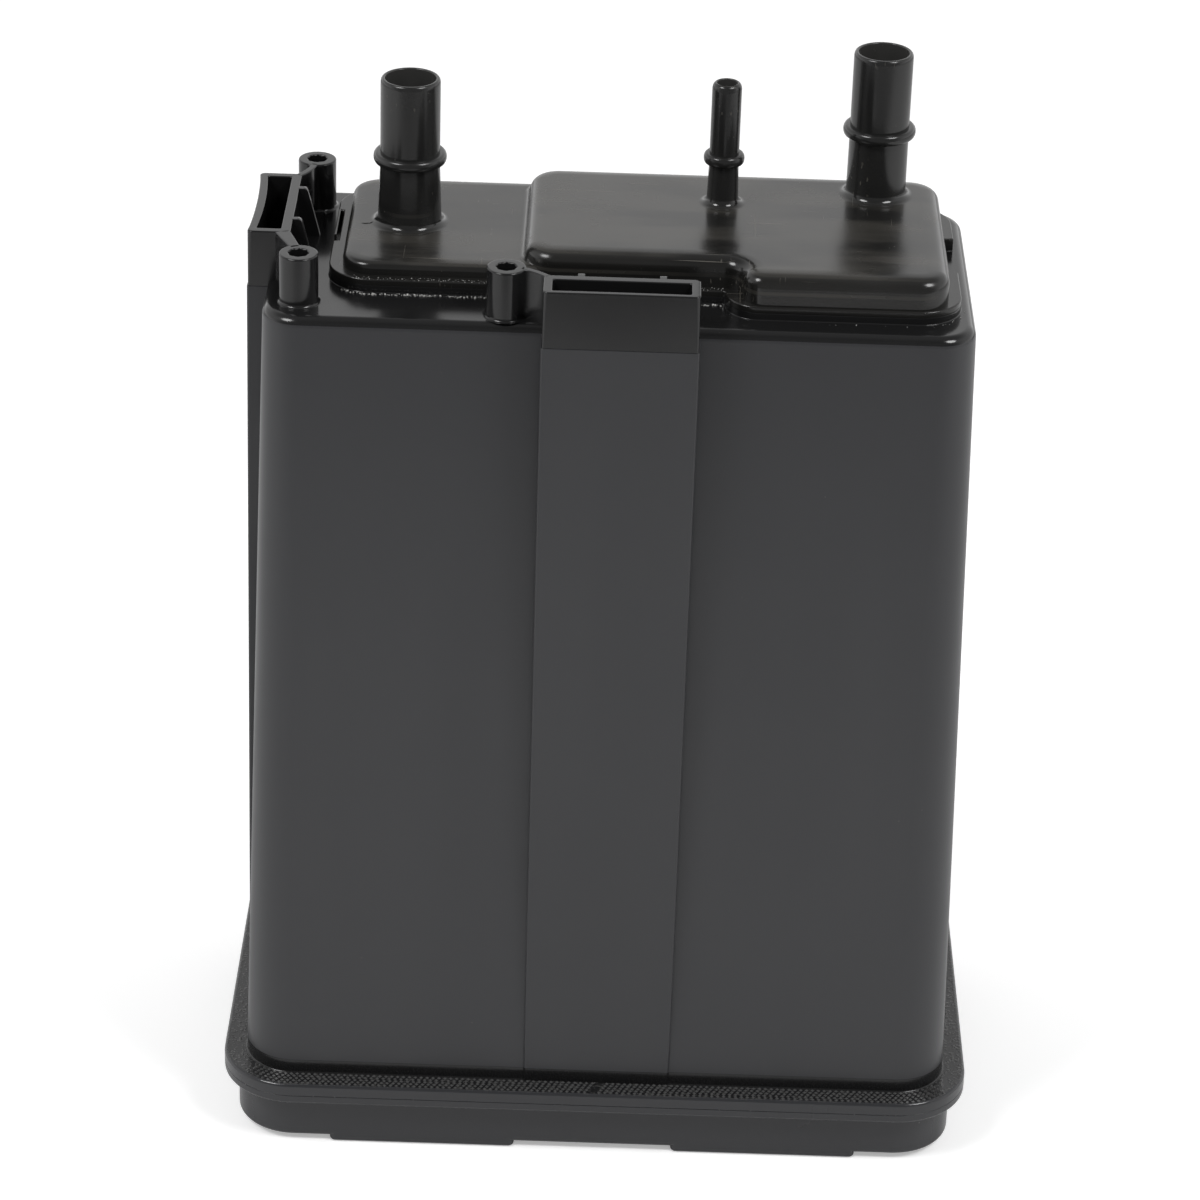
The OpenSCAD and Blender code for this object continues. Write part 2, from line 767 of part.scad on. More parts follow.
// The cup under a plate that keeps a spring in its place
cup_wall = 1.5;
cup_gap = 0.5;
module spring_cup(s) {
    translate([s[0], s[1], plate_z - spring_seat_h])
        difference() {
            cylinder(d = spring_outer_d + 2 * (cup_wall + cup_gap), h = spring_seat_h + bite);
            translate([0, 0, -over])
                cylinder(d = spring_outer_d + 2 * cup_gap, h = spring_seat_h + over);
        }
}
module main_pressure_plate() {
    color(black_lid) {
        difference() {
            loft([main_ring(plate_z, plate_gap), main_ring(lower_filter_z, plate_gap)]);
            plate_holes([main_x, 0], [foot_w / 2 - split_x, foot_d]);
        }
        for (s = main_springs)
            spring_cup(s);
    }
}
module vent_pressure_plate() {
    color(black_lid) {
        difference() {
            loft([vent_ring(plate_z, plate_gap), vent_ring(lower_filter_z, plate_gap)]);
            plate_holes([vent_x, 0], [foot_w / 2 + split_x, foot_d]);
        }
        for (s = vent_springs)
            spring_cup(s);
    }
}

// A coil spring with closed ends between the tub floor and a plate
coil_steps = 16;
wire_sides = 6;
end_turns = 1;
closed_rise = wire_d * 1.05;
module coil_spring(s) {
    turns = open_turns + 2 * end_turns;
    half_wire = wire_d / 2 * cos(180 / wire_sides);
    low = floor_z + spring_gap + half_wire;
    high = plate_z - spring_gap - half_wire;
    pitch = (high - low - 2 * end_turns * closed_rise) / open_turns;
    function climb(t) =
        closed_rise * min(t, end_turns)
        + pitch * min(max(t - end_turns, 0), open_turns)
        + closed_rise * max(t - end_turns - open_turns, 0);
    color(steel)
        translate([s[0], s[1], low])
            loft([
                for (k = [0:turns * coil_steps])
                    let (turn = k / coil_steps)
                    [for (i = [0:wire_sides - 1])
                        let (
                            a = 360 * i / wire_sides,
                            r = spring_d / 2 + wire_d / 2 * cos(a)
                        )
                        [
                            r * cos(360 * turn),
                            r * sin(360 * turn),
                            climb(turn) - wire_d / 2 * sin(a)
                        ]
                    ]
            ]);
}
module main_spring_left() { coil_spring(main_springs[0]); }
module main_spring_right() { coil_spring(main_springs[1]); }
module vent_spring_front() { coil_spring(vent_springs[0]); }
module vent_spring_rear() { coil_spring(vent_springs[1]); }

canister_body();
top_cover();
vent_tube();
tank_tube();
purge_tube();
bottom_cover();
main_upper_filter();
main_carbon_bed();
main_lower_filter();
main_pressure_plate();
main_spring_left();
main_spring_right();
vent_upper_filter();
vent_carbon_bed();
vent_lower_filter();
vent_pressure_plate();
vent_spring_front();
vent_spring_rear();
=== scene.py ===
"""Charcoal canister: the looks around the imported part, in the part's own frame."""

import json
import math

import bmesh
import bpy
from mathutils import Matrix, Vector


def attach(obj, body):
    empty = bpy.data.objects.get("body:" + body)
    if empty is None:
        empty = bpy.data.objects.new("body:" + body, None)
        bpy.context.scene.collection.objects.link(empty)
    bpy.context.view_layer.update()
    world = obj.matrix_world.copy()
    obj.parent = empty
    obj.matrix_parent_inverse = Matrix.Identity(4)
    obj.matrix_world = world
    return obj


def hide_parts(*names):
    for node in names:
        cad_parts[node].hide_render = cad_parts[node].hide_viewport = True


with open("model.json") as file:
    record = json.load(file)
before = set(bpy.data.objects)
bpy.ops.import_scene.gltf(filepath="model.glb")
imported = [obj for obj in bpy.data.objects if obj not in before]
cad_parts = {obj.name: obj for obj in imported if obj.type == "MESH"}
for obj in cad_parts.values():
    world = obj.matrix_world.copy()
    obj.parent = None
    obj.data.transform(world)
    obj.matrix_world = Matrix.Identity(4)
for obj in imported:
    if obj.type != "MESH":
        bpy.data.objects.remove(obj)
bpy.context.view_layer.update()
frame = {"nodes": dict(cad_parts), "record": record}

# Sizes are in millimetres, as in the part's source, and the meshes are made in metres
MM = 0.001

# Steps of a round corner seen from above and of a rounded edge, and the points of such a corner
CORNER = 20
ROUND = 7
TURN = CORNER + 1

# Edges that bend by more degrees than this are shaded sharp
SHARP = 35

# Housing: half width, half depth and corner radius at the foot and at the deck
FOOT = (98.2, 52.5, 14.0)
FOOT_Z = 21.1
DECK = (92.4, 43.5, 10.0)
DECK_Z = 247.8
RIM_R = 2.8
# The finish changes at the parting line and at the top of a band above the flange
PARTING_Z = 245.8
BAND_Z = 25.2

# Weld flange of the housing and the bottom cover: half width, half depth and corner radius
FLANGE = (104.6, 58.9, 20.4)
WELD_Z = 17.5

# Bottom cover: underside of its flange, the tub, and the rails as width, pitch and half length
COVER_Z = 14.9
TUB_Z = 1.5
TUB_INSET = 4.0
TUB_EDGE = 1.4
RAIL = (51.8, 95.9, 54.9)
RAIL_R = 1.6

# Strips up the front and left walls, each ending in an open pocket with two fins behind it
POST_Z = 261.4
POCKET_W = 40.7
POCKET_T = 11.5
POCKET_WALL = 2.6
SLOT_Z = 201.4
STEP = 0.25
FIN_T = 1.9
FIN_U = 10.5
FRONT_X = 0.5
SIDE_Y = 0.8
FRONT_STRIP = {"top_out": 53.0, "foot_out": 52.8, "foot_wall": 50.6, "lean": 0.0397, "face": 1.9, "bow": 0.1}
SIDE_STRIP = {"top_out": 97.8, "foot_out": 99.2, "foot_wall": 96.4, "lean": 0.0256, "face": 2.5, "bow": 0.8}

# Screw bosses, with shallow lobes round each hole
BOSSES = ((-83.1, -32.3), (-83.1, 32.3), (-29.35, -36.9))
BOSS_R = 5.1
BOSS_FILLET = 0.9
HOLE_R = 2.6
HOLE_DEPTH = 12.0
HOLE_LOBES = 8
LOBE = 0.16
# Webs from boss to pocket: start, bend and end of the line, and half the width at both ends
WEBS = (
    ((-84.3, -28.6), (-86.0, -24.4), (-88.3, -18.8), 1.3, 2.0),
    ((-83.5, 28.2), (-84.2, 24.2), (-87.2, 20.0), 0.9, 0.9),
    ((-25.2, -37.6), (-21.8, -38.9), (-18.6, -42.2), 0.9, 0.9),
)

# Lid flange, and how far it stands out past the domes, which is less at the back
LID_Z = 249.8
LID_TOP = 251.5
LIP = 3.6
BACK_LIP = 0.3
# Notches in the sides of the lid flange: from, to and depth
LEFT_NOTCH = (-0.5, 20.6, 1.5)
RIGHT_NOTCH = (-8.5, 14.3, 2.4)
# Thin wall outside the left notch: from, to and thickness
NOTCH_WALL = (3.6, 21.0, 0.6)

# Both domes together: left, right, front and back, and the S-bend where the front steps back
DOME = (-72.9, 85.3, -31.6, 36.2)
DOME_R = 8.0
JOG = 9.6
JOG_X = 26.4
# The high main dome, which stands a little forward, and the low vent dome on its left
SPLIT_X = -25.2
MAIN_TOP = 259.7
MAIN_EDGE = 3.4
MAIN_FRONT = 2.7
MAIN_JOG = 10.9
VENT_TOP = 255.1
VENT_EDGE = 1.8
VENT_Y0 = -22.6
SEAM_R = 1.6
# Crown of the dome tops: slope at its edge in degrees, and width
CROWN = (9, 2.6)
# A hair-thin mark on the vent dome
HAIR = ((-69.2, 3.3), (-68.3, 3.1), (-67.0, 3.5), (-66.0, 4.4), (-65.7, 6.2), (-65.6, 7.9))
HAIR_R = 0.13

# Hose tubes: where each stands, and the sizes of the large and the small end
VENT_TUBE = {"centre": (-56.6, 6.25), "base": VENT_TOP, "foot_r": 8.45}
TANK_TUBE = {"centre": (67.9, 24.5), "base": MAIN_TOP, "foot_r": 8.0}
PURGE_TUBE = {"centre": (26.5, 14.9), "base": MAIN_TOP, "foot_r": 4.2}
LARGE_END = {"height": 40.4, "tube_r": 7.91, "bead_r": 9.7, "bead_drop": 22.0, "tip_h": 1.3, "bore_r": 6.7}
SMALL_END = {"height": 34.0, "tube_r": 3.945, "bead_r": 5.45, "bead_drop": 21.2, "tip_h": 1.9, "bore_r": 2.7}
TUBE_FILLET = 2.1
BEAD_HALF = 1.5

# Refractive index of every black moulding
PLASTIC_IOR = 1.5


def lerp(a, b, t):
    return a + (b - a) * t


def arc(cx, cy, r, start, sweep, steps=CORNER):
    """Points of an arc in a plane."""
    turn = [math.radians(start + sweep * i / steps) for i in range(steps + 1)]
    return [(cx + r * math.cos(a), cy + r * math.sin(a)) for a in turn]


def rounded(x0, x1, y0, y1, r, steps=CORNER):
    """A rectangle with rounded corners, anticlockwise."""
    return (
        arc(x1 - r, y1 - r, r, 0, 90, steps)
        + arc(x0 + r, y1 - r, r, 90, 90, steps)
        + arc(x0 + r, y0 + r, r, 180, 90, steps)
        + arc(x1 - r, y0 + r, r, 270, 90, steps)
    )


def lift(outline, z):
    return [(x, y, z) for x, y in outline]


def edge(r, steps=ROUND):
    """Inset and drop round a rounded edge, from its side up to its flat."""
    turn = [math.pi / 2 * i / steps for i in range(steps + 1)]
    return [(r * (1 - math.cos(a)), r * (1 - math.sin(a))) for a in turn]


def hollow(r, steps=ROUND):
    """Outset and rise round a fillet, from its foot on the flat up to the side."""
    turn = [math.pi / 2 * i / steps for i in range(steps + 1)]
    return [(r * (1 - math.sin(a)), r * (1 - math.cos(a))) for a in turn]


def wall_outline(z, inset):
    t = (z - FOOT_Z) / (DECK_Z - FOOT_Z)
    hx, hy, r = (lerp(a, b, t) - inset for a, b in zip(FOOT, DECK))
    return rounded(-hx, hx, -hy, hy, r)


def flange_outline(inset):
    hx, hy, r = (v - inset for v in FLANGE)
    return rounded(-hx, hx, -hy, hy, r)


def rail_outline(x, inset):
    hx, hy = RAIL[0] / 2 - inset, RAIL[2] - inset
    return rounded(x - hx, x + hx, -hy, hy, RAIL_R - inset, 5)


def dome_outline(x0, inset, back=None, front=0.0, jog=JOG):
    """The stepped outline of the lid, set in from the dome walls, at the back by its own amount if given."""
    r = DOME_R - inset
    bend = jog / 2
    x0, x1 = x0 + inset, DOME[1] - inset
    y0, y1 = DOME[2] + inset - front, DOME[3] - (inset if back is None else back)
    step = DOME[2] - front + jog - bend
    return (
        arc(x1 - r, y1 - r, r, 0, 90)
        + arc(x0 + r, y1 - r, r, 90, 90)
        + arc(x0 + r, y0 + jog + r, r, 180, 90)
        + arc(JOG_X, step, bend + inset, 90, -90)
        + arc(JOG_X + jog, step, bend - inset, 180, 90)
        + arc(x1 - r, y0 + r, r, 270, 90)
    )


def main_outline(inset):
    return dome_outline(SPLIT_X, inset, None, MAIN_FRONT, MAIN_JOG)


def vent_outline(inset):
    """The vent dome, which runs on into the main dome."""
    x1 = SPLIT_X + 2 * DOME_R
    return rounded(DOME[0] + inset, x1 - inset, VENT_Y0 + inset, DOME[3] - inset, DOME_R - inset)


def dome_edge(r):
    """A round edge that runs out into a slightly crowned top, as inset and drop."""
    slope, width = math.radians(CROWN[0]), CROWN[1]
    start = r * (1 - math.sin(slope))
    sag = math.tan(slope) * width / 2
    low = sag - r * (1 - math.cos(slope))
    turns = [math.pi / 2 + (slope - math.pi / 2) * k / 8 for k in range(9)]
    curve = [(r * (1 - math.sin(t)), r * (1 - math.cos(t)) + low) for t in turns]
    return curve + [(start + width * k / 5, sag * (1 - k / 5) ** 2) for k in range(1, 6)]


def lid_outline(inset):
    """The lid flange, with a notch in each side."""
    points = dome_outline(DOME[0], inset - LIP, inset - BACK_LIP)
    left = DOME[0] - LIP + inset
    right = DOME[1] + LIP - inset

    def notch(sides, x, way):
        low, high, depth = sides[0] - inset, sides[1] + inset, way * sides[2]
        return [(x, low), (x + depth, low + 0.3), (x + depth, high - 0.3), (x, high)]

    backed = points[:2 * TURN] + notch(LEFT_NOTCH, left, 1)[::-1]
    return backed + points[2 * TURN:] + notch(RIGHT_NOTCH, right, -1)


class Shape:
    """Faces collected in millimetres and made into one piece in metres."""

    def __init__(self, name):
        self.name = name
        self.faces = bmesh.new()

    def loft(self, rings, start=True):
        """Joins rings of points, closed at the end and, unless told otherwise, at the start."""
        rows = [[self.faces.verts.new(p) for p in ring] for ring in rings]
        count = len(rows[0])
        for low, high in zip(rows, rows[1:]):
            for i in range(count):
                j = (i + 1) % count
                self.faces.faces.new((low[i], low[j], high[j], high[i]))
        if start:
            self.faces.faces.new(rows[0][::-1])
        self.faces.faces.new(rows[-1])

    def lathe(self, centre, profile, steps=96):
        """Turns a profile of radius, height and, where given, depth of the lobes round the ring."""
        turn = [2 * math.pi * i / steps for i in range(steps)]
        rings = []
        for r, z, *lobe in profile:
            depth = lobe[0] if lobe else 0.0
            reach = [(a, r + depth * math.cos(HOLE_LOBES * a)) for a in turn]
            rings.append([(centre[0] + d * math.cos(a), centre[1] + d * math.sin(a), z) for a, d in reach])
        self.loft(rings, start=False)

    def thread(self, line, r):
        """A thin round thread along a line, with thinner ends."""
        up = Vector((0, 0, 1))
        last = len(line) - 1
        rings = []
        for i, p in enumerate(line):
            run = Vector(line[min(i + 1, last)]) - Vector(line[max(i - 1, 0)])
            side = up.cross(run.normalized())
            thick = r * min(1.0, 0.3 + 0.7 * i, 0.3 + 0.7 * (last - i))
            rings.append([Vector(p) + thick * (side * x + up * y) for x, y in arc(0, 0, 1, 0, 300, 5)])
        self.loft(rings)

    def plate(self, outline, thickness, bevel, place):
        """A flat plate with bevelled edges, its points set in place one by one."""
        part = bmesh.new()
        face = part.faces.new([part.verts.new((a, b, -thickness / 2)) for a, b in outline])
        raised = bmesh.ops.extrude_face_region(part, geom=[face])["geom"]
        tops = [g for g in raised if isinstance(g, bmesh.types.BMVert)]
        bmesh.ops.translate(part, verts=tops, vec=(0, 0, thickness))
        bmesh.ops.recalc_face_normals(part, faces=part.faces[:])
        bmesh.ops.bevel(part, geom=part.edges[:], offset=bevel, segments=2, profile=0.5, affect="EDGES")
        for v in part.verts:
            v.co = place(*v.co)
        data = bpy.data.meshes.new("part")
        part.to_mesh(data)
        part.free()
        self.faces.from_mesh(data)
        bpy.data.meshes.remove(data)

    def piece(self, material):
        """The finished object, smooth but for its sharp edges."""
        bmesh.ops.scale(self.faces, vec=(MM, MM, MM), verts=self.faces.verts[:])
        data = bpy.data.meshes.new(self.name)
        self.faces.to_mesh(data)
        self.faces.free()
        data.shade_smooth()
        data.set_sharp_from_angle(angle=math.radians(SHARP))
        data.materials.append(material)
        made = bpy.data.objects.new(self.name, data)
        bpy.context.scene.collection.objects.link(made)
        normals = made.modifiers.new("normals", "WEIGHTED_NORMAL")
        normals.keep_sharp = True
        applied(made)
        return made


def applied(made):
    """Puts the evaluated mesh in the object's place."""
    graph = bpy.context.evaluated_depsgraph_get()
    shown = made.evaluated_get(graph)
    data = bpy.data.meshes.new_from_object(shown, preserve_all_data_layers=True, depsgraph=graph)
    made.modifiers.clear()
    made.data = data


class Value:
    """A number inside a shader tree, with the usual operators."""

    def __init__(self, shader_tree, socket):
        self.shader_tree = shader_tree
        self.socket = socket

    def math(self, name, other=0.0):
        return self.shader_tree.node("ShaderNodeMath", {"operation": name}, {0: self, 1: other})

    def __add__(self, other):
        return self.math("ADD", other)

    def __sub__(self, other):
        return self.math("SUBTRACT", other)

    def __rsub__(self, other):
        return (self * -1.0).math("ADD", other)

    def __mul__(self, other):
        return self.math("MULTIPLY", other)

    __radd__ = __add__
    __rmul__ = __mul__

    def between(self, low, high, start=0.0, end=1.0):
        """Goes smoothly from start to end as the value goes from low to high."""
        inputs = {"Value": self, "From Min": low, "From Max": high, "To Min": start, "To Max": end}
        return self.shader_tree.node("ShaderNodeMapRange", {"interpolation_type": "SMOOTHSTEP"}, inputs)

    def within(self, low, high, soft):
        """1 from low to high and 0 outside, with soft ends."""
        return self.between(low - soft, low + soft) * self.between(high - soft, high + soft, 1.0, 0.0)


class ShaderTree:
    """A shader's nodes."""

    def __init__(self, tree):
        self.tree = tree

    def node(self, kind, settings=(), inputs=(), output=0):
        """Adds a node with its settings and the values or links of its sockets, and gives one output."""
        made = self.tree.nodes.new(kind)
        for key, value in dict(settings).items():
            setattr(made, key, value)
        for key, value in dict(inputs).items():
            if isinstance(value, Value):
                self.tree.links.new(value.socket, made.inputs[key])
            else:
                made.inputs[key].default_value = value
        return Value(self, made.outputs[output])

    def axis(self, vector, name):
        return self.node("ShaderNodeSeparateXYZ", {}, {"Vector": vector}, name)


class Paint(ShaderTree):
    """One material and the patterns that its finish is made of."""

    def __init__(self, name, **constants):
        self.material = bpy.data.materials.new(name)
        self.material.use_nodes = True
        super().__init__(self.material.node_tree)
        self.shader = self.tree.nodes["Principled BSDF"]
        for key, value in constants.items():
            self.shader.inputs[key.replace("_", " ")].default_value = value
        self.place = self.node("ShaderNodeTexCoord", output="Object")

    def mapped(self, scale, turn=(0, 0, 0)):
        return self.node("ShaderNodeMapping", {}, {"Vector": self.place, "Scale": scale, "Rotation": turn})

    def height(self):
        """Height in millimetres."""
        return self.axis(self.place, "Z") * (1 / MM)

    def noise(self, scale, detail=2.0, where=None):
        inputs = {"Vector": where or self.place, "Scale": scale, "Detail": detail}
        return self.node("ShaderNodeTexNoise", {}, inputs, "Fac")

    def specks(self, scale, size):
        """Small round spots, 1 inside and 0 outside."""
        inputs = {"Vector": self.place, "Scale": scale}
        return self.node("ShaderNodeTexVoronoi", {}, inputs, "Distance").between(size * 0.5, size, 1.0, 0.0)

    def scratches(self, scale, turn, low):
        """Long thin lines that come and go."""
        lines = self.noise(1.0, 1.0, self.mapped(scale, turn)).between(low, low + 0.03)
        return lines * self.noise(45.0, 1.0).between(0.52, 0.7)

    def blend(self, factor, a, b):
        """A colour between two, each of which is three numbers or another blend."""
        ends = [end if isinstance(end, Value) else (*end, 1) for end in (a, b)]
        # The colours are this node's inputs 6 and 7 and its output 2
        return self.node("ShaderNodeMix", {"data_type": "RGBA"}, {0: factor, 6: ends[0], 7: ends[1]}, 2)

    def bump(self, height, distance):
        return self.node("ShaderNodeBump", {}, {"Height": height, "Distance": distance, "Strength": 1.0})

    def feed(self, **sockets):
        """Links values to the shader's sockets and gives the finished material."""
        for key, value in sockets.items():
            self.tree.links.new(value.socket, self.shader.inputs[key.replace("_", " ")])
        return self.material


def housing_paint():
    """Satin black moulding with smoother zones above the parting line and just above the flange."""
    paint = Paint("housing_plastic", IOR=PLASTIC_IOR)
    satin_tone, gloss_tone = (0.029, 0.0295, 0.0322), (0.0095, 0.0095, 0.0098)
    # Pale end for real dust specks, and for the painted glints on the grain dots of the flange top
    dust_and_glint_tone = (0.09, 0.088, 0.083)
    height = paint.height()
    upper = height.between(PARTING_Z - 0.05, PARTING_Z + 0.05)
    band = height.between(FOOT_Z - 0.05, FOOT_Z + 0.02) * height.between(BAND_Z - 0.2, BAND_Z + 0.2, 1.0, 0.0)
    shelf = height.between(FOOT_Z - 0.18, FOOT_Z - 0.08)
    shelf *= height.between(FOOT_Z + 0.02, FOOT_Z + 0.1, 1.0, 0.0)
    below = height.between(FOOT_Z - 0.1, FOOT_Z - 0.05, 1.0, 0.0)
    lip = height.between(FOOT_Z - 1.3, FOOT_Z - 0.9) * height.between(FOOT_Z - 0.18, FOOT_Z - 0.08, 1.0, 0.0)
    smooth = upper.math("MAXIMUM", band)
    streaks = paint.noise(1.0, 3.0, paint.mapped((60, 60, 4)))
    patches = paint.noise(22.0, 3.0)
    dust = paint.specks(230, 0.05) * paint.noise(30, 2.0).between(0.55, 0.7)
    # Dots on the flange top: a real fine grain in the bump, and in the colour painted glints of that grain
    grain_dots_painted_glints = paint.noise(1300, 1.0).between(0.54, 0.64) * shelf
    grain = paint.noise(2200, 2.0) * (1.0 - smooth) + grain_dots_painted_glints * 6.0
    satin = streaks.between(0.3, 0.7, 0.31, 0.38) + patches.between(0.3, 0.7, -0.02, 0.02)
    satin = satin - below * 0.12 - lip * 0.13
    gloss = patches.between(0.3, 0.7, 0.12, 0.19)
    plain = paint.blend(smooth, satin_tone, gloss_tone)
    return paint.feed(
        # Paler dust specks, plus painted glints on the grain dots
        Base_Color=paint.blend(dust + grain_dots_painted_glints * 0.3, plain, dust_and_glint_tone),
        Roughness=satin + (gloss - satin) * smooth + dust * 0.2,
        Normal=paint.bump(grain, 0.00002),
    )


def lid_paint(name, smoothest, roughest, tone, film_share, foot_gloss=0.0, bore=None):
    """Semi-gloss black moulding with a film of dust, handling scratches and, in a tube, a bore painted paler
    as painted light on its inner wall.
    """
    paint = Paint(name, IOR=PLASTIC_IOR)
    film_tone, painted_bore_light_tone = (0.10, 0.093, 0.080), (0.045, 0.0445, 0.043)
    height = paint.height()
    patches = paint.noise(26.0, 4.0)
    film = paint.noise(1.0, 5.0, paint.mapped((22, 90, 60)))
    dust = paint.specks(320, 0.06) * paint.noise(40, 2.0).between(0.5, 0.66)
    marks = paint.scratches((40, 1600, 400), (0, 0, 0.5), 0.7)
    marks += paint.scratches((1500, 30, 400), (0, 0, -0.3), 0.72)
    worn = marks.math("MAXIMUM", dust)
    tops = height.within(VENT_TOP - 0.7, VENT_TOP + 0.3, 0.2)
    tops += height.within(MAIN_TOP - 0.7, MAIN_TOP + 0.3, 0.2)
    haze = film.between(0.38, 0.6, 0.0, film_share) * (tops * 0.85 + 0.15)
    low, high = TUBE_FILLET - 0.2, TUBE_FILLET + 0.4
    feet = height.between(MAIN_TOP + 0.3, MAIN_TOP + 0.7)
    feet *= height.between(MAIN_TOP + low, MAIN_TOP + high, 1.0, 0.0)
    feet += height.between(VENT_TOP + low, VENT_TOP + high, 1.0, 0.0)
    roughness = patches.between(0.3, 0.7, smoothest, roughest) + worn * 0.2 + haze * 0.3
    colour = paint.blend(haze + worn * 0.8, tone, film_tone)
    # Painted light: inside the bore the colour is paler, standing in for the light on the bore's inner wall
    if bore:
        x, y, r = (v * MM for v in bore)
        ends = {0: paint.mapped((1, 1, 0)), 1: (x, y, 0)}
        away = paint.node("ShaderNodeVectorMath", {"operation": "DISTANCE"}, ends, "Value")
        colour = paint.blend(away.between(r, r + 0.2 * MM, 1.0, 0.0), colour, painted_bore_light_tone)
    return paint.feed(
        Base_Color=colour,
        Roughness=roughness - feet * foot_gloss,
        Normal=paint.bump(paint.noise(1500, 2.0), 0.00001),
    )


def flash_and_glint_paint():
    """Torn weld flash, rough and paler than the mouldings: partly stress-whitened plastic, partly painted
    glints.
    """
    paint = Paint("weld_flash_and_glints", IOR=PLASTIC_IOR)
    tone = paint.noise(1500, 2.0)
    return paint.feed(
        # The pale end is partly stress-whitened torn plastic and partly painted glints on the crumbs
        Base_Color=paint.blend(tone.between(0.42, 0.6), (0.03, 0.03, 0.03), (0.46, 0.455, 0.44)),
        Roughness=tone.between(0.3, 0.7, 0.2, 0.5),
    )


def plain_paint(name, colour, roughness, metallic=0.0, grain=900, depth=0.0001):
    """One colour with a fine grain."""
    paint = Paint(name, Base_Color=(*colour, 1), Roughness=roughness, Metallic=metallic)
    return paint.feed(Normal=paint.bump(paint.noise(grain, 3.0), depth))


HOUSING = housing_paint()
LID = lid_paint("lid_plastic", 0.15, 0.23, (0.0105, 0.0103, 0.0098), 0.24)
# Studs paler than the dark flange top they stand on: painted glints, so that each stud reads as a bright dot
KNURL = plain_paint("knurl_plastic_painted_glint", (0.033, 0.033, 0.033), 0.33)
FLASH = flash_and_glint_paint()
INNER = {
    "filter_felt": plain_paint("filter_felt", (0.75, 0.74, 0.7), 0.95, 0.0, 1200, 0.0004),
    "activated_carbon": plain_paint("activated_carbon", (0.012, 0.012, 0.012), 0.8, 0.0, 420, 0.0012),
    "plate_plastic": plain_paint("plate_plastic", (0.02, 0.02, 0.02), 0.4),
    "spring_steel": plain_paint("spring_steel", (0.62, 0.63, 0.65), 0.28, 1.0),
}


def on_front(u, out, z):
    """From along the front wall, out of it and up, to the part's frame."""
    return FRONT_X - u, -out, z


def on_side(u, out, z):
    """From along the left wall, out of it and up, to the part's frame."""
    return -out, SIDE_Y + u, z


def pocket_strip(shape, place, top_out, foot_out, foot_wall, lean, face, bow):
    """A strip up a wall that ends in an open pocket, and the two fins behind the pocket."""
    inner = top_out - POCKET_T
    half = POCKET_W / 2

    def ring(grow, width, near, far, z, r=0.6, sag=0.0):
        w = width + grow
        points = rounded(-w, w, near - grow, far + grow, r, 4)
        sunk = [w * (1 - i / 6) for i in range(1, 12)]
        front = [(u, far + grow - sag * (1 - (u / w) ** 2)) for u in sunk]
        return [place(u, o, z) for u, o in points[:5] + front + points[5:]]

    rings = [ring(0, half, foot_wall, foot_out, FOOT_Z - 0.4)]
    rings += [ring(-i, half, inner, top_out, PARTING_Z - d) for i, d in edge(0.15, 3)]
    rings += [ring(-STEP, half, inner - STEP, top_out, PARTING_Z)]
    rings += [ring(-STEP - i, half, inner - STEP, top_out, POST_Z - d, 1.2, bow) for i, d in edge(0.35, 4)]
    mouth = (half - POCKET_WALL, inner + POCKET_WALL, top_out - face)
    rings += [ring(o, *mouth, POST_Z - d, 0.6, bow) for o, d in hollow(0.3, 4)]
    rings += [ring(0, *mouth, DECK_Z)]
    rings += [ring(0, mouth[0], mouth[1] + lean * (DECK_Z - SLOT_Z), mouth[2], SLOT_Z)]
    shape.loft(rings)
    fin = [(inner + 0.5, DECK_Z - 0.5), (inner + 0.5, POST_Z), (inner - 1.3, POST_Z)]
    fin += [(inner - 1.85, POST_Z - 0.14), (inner - 2.2, POST_Z - 0.45), (inner - 2.41, POST_Z - 0.9)]
    fin += [(inner - 5.6, DECK_Z - 0.5)]
    for side in (-FIN_U, FIN_U):
        shape.plate(fin, FIN_T, 0.2, lambda o, z, t: place(side + t, o, z))


def curved_web(shape, start, bend, end, near, far):
    """A web on the deck that follows a bent line from a boss to a pocket."""
    steps = 10
    line = []
    for i in range(steps + 1):
        t = i / steps
        line.append([(1 - t) ** 2 * a + 2 * t * (1 - t) * b + t * t * c for a, b, c in zip(start, bend, end)])

    def outline(inset):
        left, right = [], []
        for i, p in enumerate(line):
            half = lerp(near, far, i / steps) - inset
            q, r = line[max(i - 1, 0)], line[min(i + 1, steps)]
            run = Vector((r[0] - q[0], r[1] - q[1])).normalized()
            left.append((p[0] - run.y * half, p[1] + run.x * half))
            right.append((p[0] + run.y * half, p[1] - run.x * half))
        return right + left[::-1]

    rings = [lift(outline(0.0), DECK_Z - 0.3)]
    rings += [lift(outline(i), POST_Z - d) for i, d in edge(0.3, 3)]
    shape.loft(rings)


